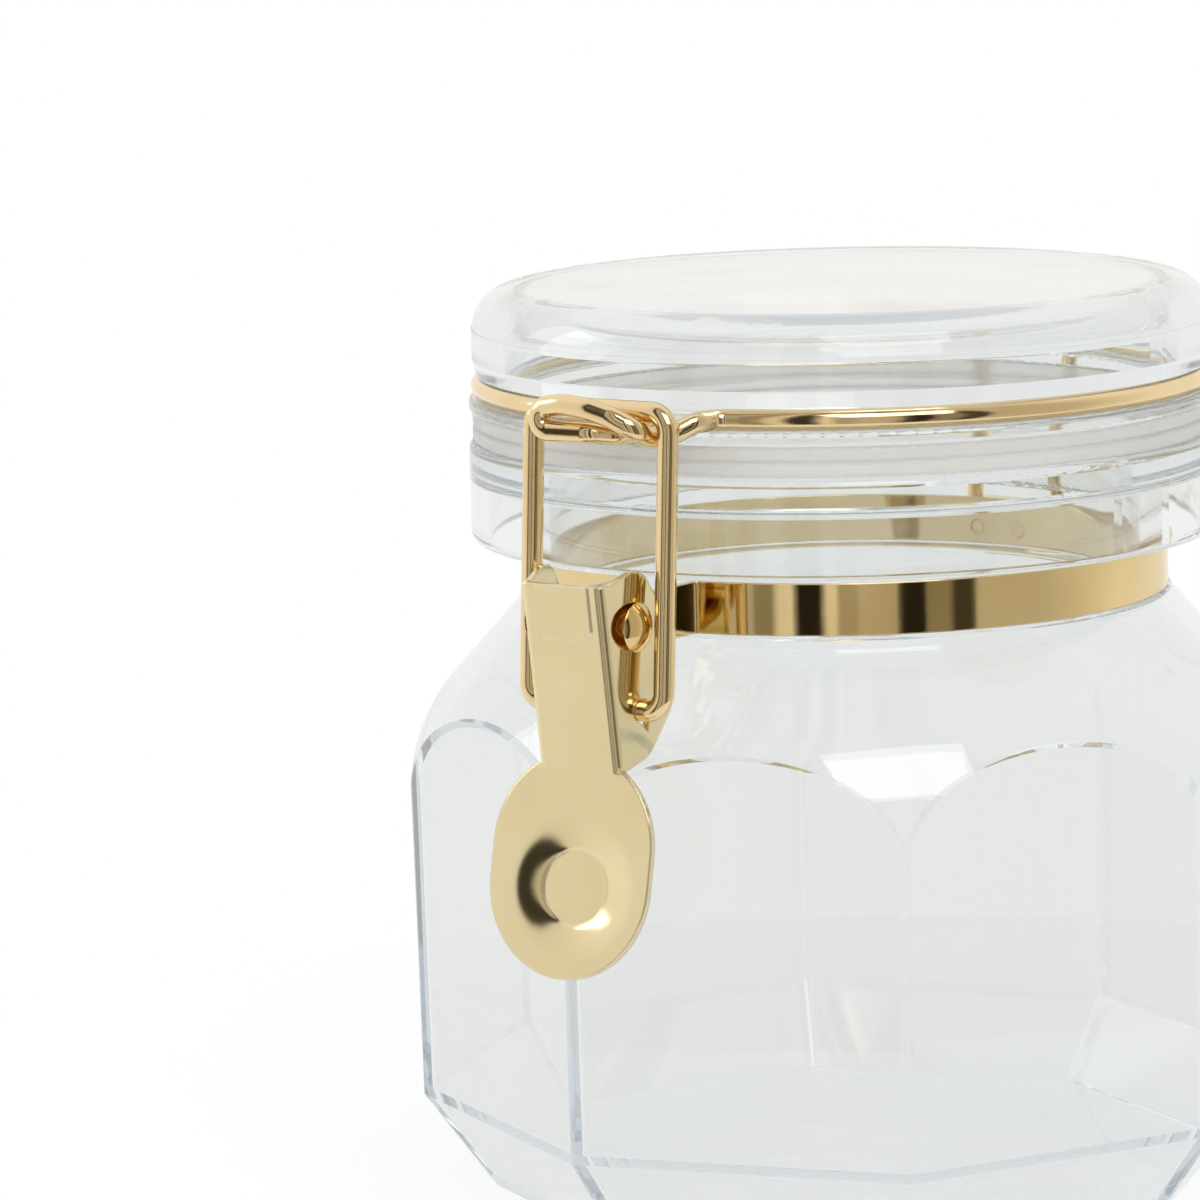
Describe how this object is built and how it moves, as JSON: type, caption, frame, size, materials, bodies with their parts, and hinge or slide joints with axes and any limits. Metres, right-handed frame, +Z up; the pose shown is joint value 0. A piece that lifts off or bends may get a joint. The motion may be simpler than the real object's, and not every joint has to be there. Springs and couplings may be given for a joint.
{
  "type": "storage jar",
  "caption": "Clear faceted storage jar with a domed shoulder, a hinged clip-top lid on a wire, a soft seal ring and a gold-coloured sheet-metal lever latch.",
  "frame": {"origin": "centre of the jar's flat base, on the surface that it stands on", "axes": "+Z up along the jar's axis, -Y towards the latch, +Y towards the hinge, +X to the right as seen from the latch's side"},
  "size_m": [0.108, 0.1161, 0.1116],
  "materials": {
    "body_plastic": "clear, moulded, polished",
    "lid_plastic": "clear, moulded, polished",
    "seal_silicone": "pale translucent silicone",
    "wire_gold": "bright champagne-gold plated wire",
    "strap_gold": "mirror champagne-gold plated sheet",
    "lever_gold": "satin champagne-gold plated sheet",
    "rivet_gold": "bright champagne-gold plated rivet"
  },
  "bodies": {
    "jar": {"jar_body": "body_plastic", "neck_strap": "strap_gold", "lever_rivet": "rivet_gold", "hinge_bracket": "strap_gold", "hinge_rivets": "rivet_gold"},
    "lid": {"lid": "lid_plastic", "seal_ring": "seal_silicone", "lid_wire": "wire_gold"},
    "lever": {"lever": "lever_gold"},
    "link": {"link_wire": "wire_gold"}
  },
  "joints": [
    {"name": "lid_hinge", "type": "hinge", "parent": "jar", "child": "lid", "pos_m": [0, 0.04735, 0.077], "axis": [-1, 0, 0], "range_deg": [0, 100]},
    {"name": "lever_pivot", "type": "hinge", "parent": "jar", "child": "lever", "pos_m": [0, -0.0544, 0.077], "axis": [-1, 0, 0], "range_deg": [0, 100]},
    {"name": "link_pivot", "type": "hinge", "parent": "lever", "child": "link", "pos_m": [0, -0.0532, 0.0671], "axis": [1, 0, 0], "range_deg": [0, 140]}
  ],
  "couplings": [
    {"joint": "lever_pivot", "follows": "lid_hinge", "ratio": 1},
    {"joint": "link_pivot", "follows": "lid_hinge", "ratio": 1.4}
  ]
}
